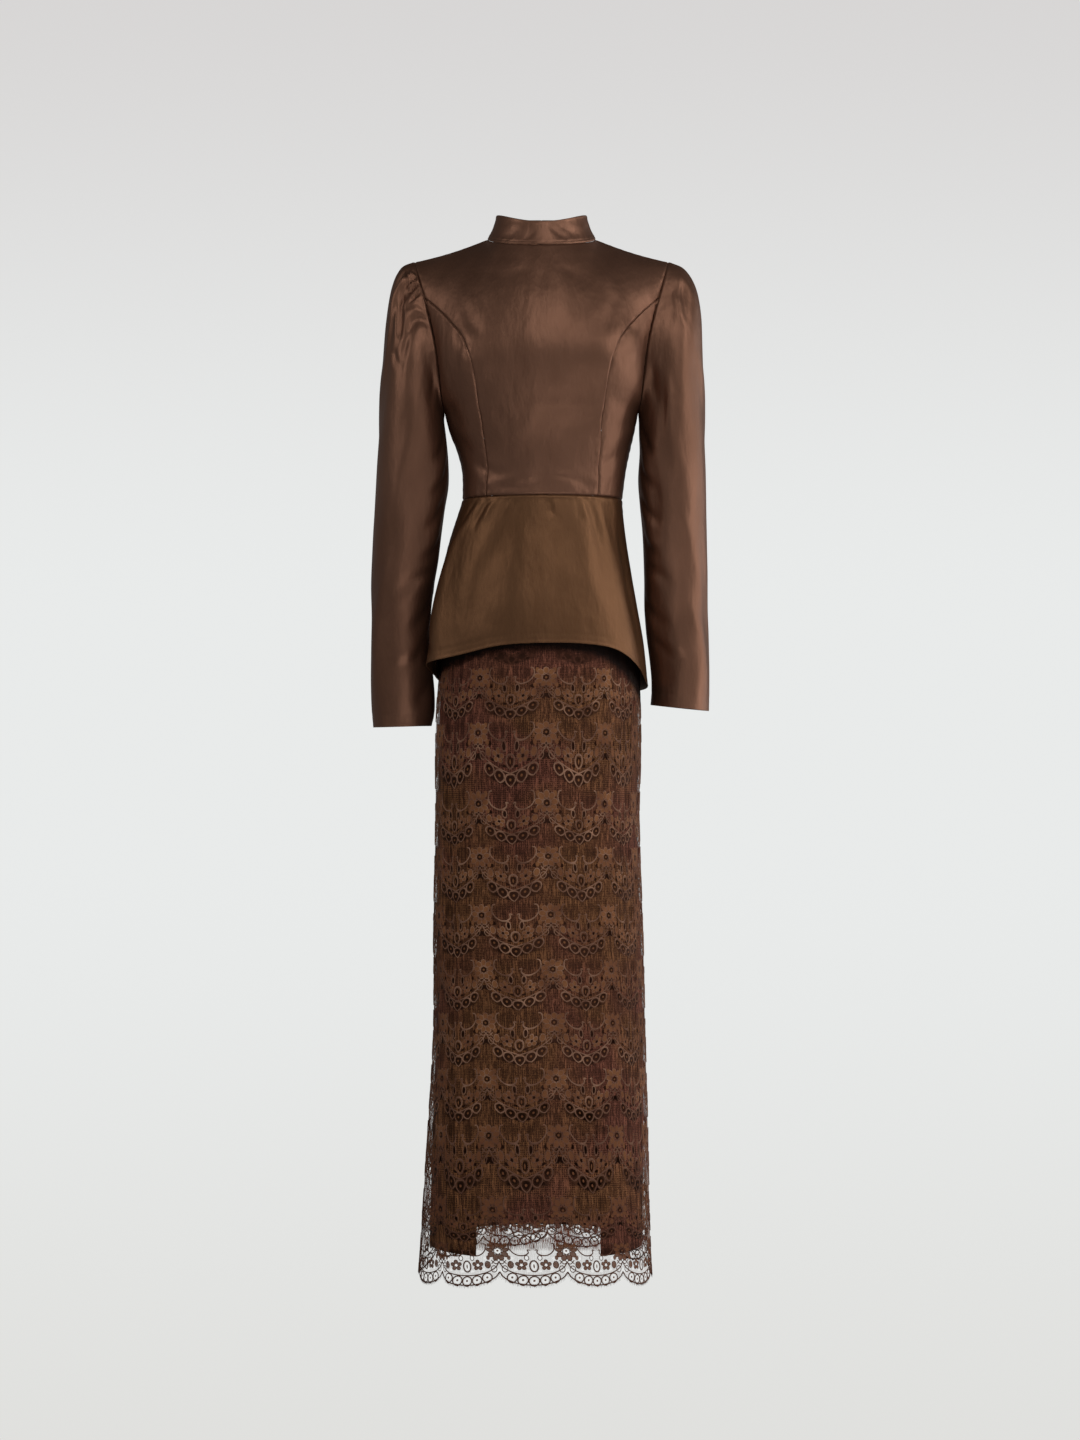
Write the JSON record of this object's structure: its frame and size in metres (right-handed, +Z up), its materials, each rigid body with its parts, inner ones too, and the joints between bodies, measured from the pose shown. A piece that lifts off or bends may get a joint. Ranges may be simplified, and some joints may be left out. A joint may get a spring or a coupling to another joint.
{
  "type": "tunic and skirt set",
  "caption": "Worn long-sleeved satin tunic with a stand collar and flared peplum over a straight lace skirt with a scalloped hem.",
  "frame": {"origin": "middle of the base of the neck, where the wearer's shoulders hold the tunic", "axes": "+Z up, the front faces -Y, the wearer's left side is at +X"},
  "size_m": [0.4564, 0.2489, 1.4129],
  "materials": {
    "satin": "satin",
    "lace": "matte",
    "lining": "satin",
    "elastic": "matte",
    "zip_metal": "satin"
  },
  "bodies": {
    "garment": {"bodice_front": "satin", "bodice_side_front_right": "satin", "bodice_side_back_right": "satin", "bodice_back_right": "satin", "sleeve_right": "satin", "bodice_side_front_left": "satin", "bodice_side_back_left": "satin", "bodice_back_left": "satin", "sleeve_left": "satin", "collar": "satin", "peplum_front": "satin", "peplum_back_right": "satin", "peplum_back_left": "satin", "skirt_waistband": "elastic", "skirt_lining_front": "lining", "skirt_lining_back": "lining", "skirt_lace_front": "lace", "skirt_lace_back": "lace", "zip_slider": "zip_metal"},
    "pull": {"zip_pull": "zip_metal"}
  },
  "joints": [
    {"name": "pull_swing", "type": "hinge", "parent": "garment", "child": "pull", "pos_m": [0, 0.05576, 0.02661], "axis": [1, 0, 0], "range_deg": [0, 150]}
  ]
}
